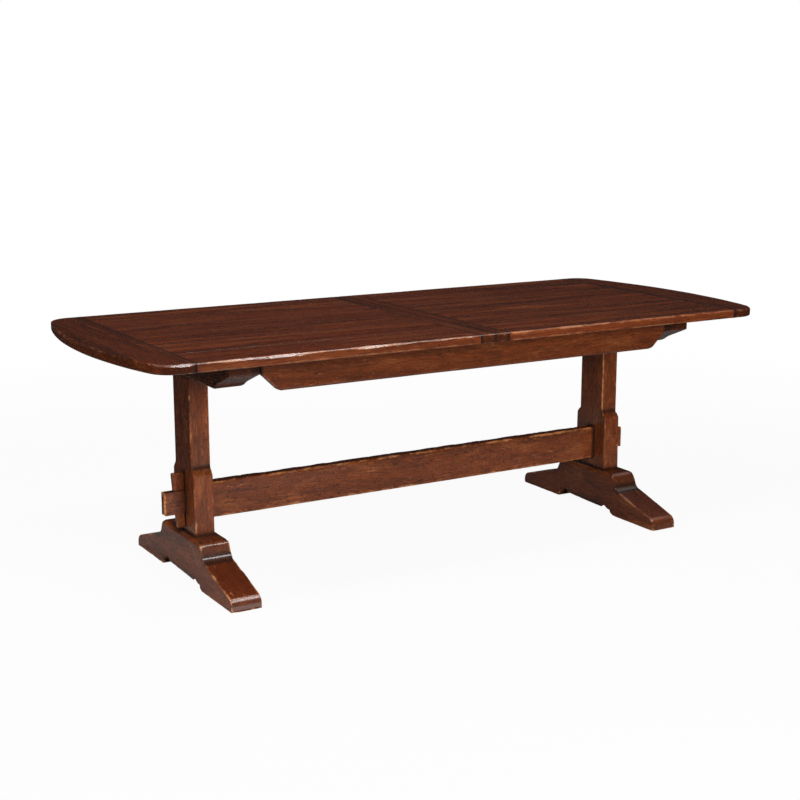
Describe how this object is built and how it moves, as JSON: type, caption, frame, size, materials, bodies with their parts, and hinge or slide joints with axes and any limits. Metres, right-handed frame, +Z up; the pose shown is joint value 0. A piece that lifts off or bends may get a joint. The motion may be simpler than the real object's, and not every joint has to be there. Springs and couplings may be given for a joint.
{
  "type": "trestle dining table",
  "caption": "Extending wooden trestle dining table: bowed-end split top sliding on wooden runners, carved feet, and a stretcher wedged through the posts.",
  "frame": {"origin": "on the floor, under the middle of the closed table", "axes": "+X along the table to the right, -Y towards the front, +Z up"},
  "size_m": [2.258, 0.968, 0.762],
  "materials": {
    "top_wood": "satin varnish",
    "trestle_wood": "satin varnish, worn edges",
    "slide_wood": "waxed",
    "dowel_wood": "bare",
    "screw_steel": "plain"
  },
  "bodies": {
    "base": {"foot_left": "trestle_wood", "post_left": "trestle_wood", "bearer_left": "trestle_wood", "foot_right": "trestle_wood", "post_right": "trestle_wood", "bearer_right": "trestle_wood", "stretcher": "trestle_wood", "apron_front": "trestle_wood", "slide_rail_front": "slide_wood", "apron_back": "trestle_wood", "slide_rail_back": "slide_wood", "rail_screws": "screw_steel"},
    "left_top": {"left_board_1": "top_wood", "left_board_2": "top_wood", "left_board_3": "top_wood", "left_board_4": "top_wood", "left_board_5": "top_wood", "left_board_6": "top_wood", "left_end_board": "top_wood", "left_centre_batten": "top_wood", "left_runner_front": "slide_wood", "left_runner_back": "slide_wood", "left_runner_screws": "screw_steel", "alignment_dowels": "dowel_wood"},
    "right_top": {"right_board_1": "top_wood", "right_board_2": "top_wood", "right_board_3": "top_wood", "right_board_4": "top_wood", "right_board_5": "top_wood", "right_board_6": "top_wood", "right_end_board": "top_wood", "right_centre_batten": "top_wood", "right_runner_front": "slide_wood", "right_runner_back": "slide_wood", "right_runner_screws": "screw_steel"},
    "left_wedge": {"wedge_left": "trestle_wood"},
    "right_wedge": {"wedge_right": "trestle_wood"}
  },
  "joints": [
    {"name": "left_top_slide", "type": "slide", "parent": "base", "child": "left_top", "axis": [-1, 0, 0], "range_m": [0, 0.229]},
    {"name": "right_top_slide", "type": "slide", "parent": "base", "child": "right_top", "axis": [1, 0, 0], "range_m": [0, 0.229]},
    {"name": "left_wedge_lift", "type": "slide", "parent": "base", "child": "left_wedge", "axis": [0, 0, 1], "range_m": [0, 0.13]},
    {"name": "right_wedge_lift", "type": "slide", "parent": "base", "child": "right_wedge", "axis": [0, 0, 1], "range_m": [0, 0.13]}
  ]
}
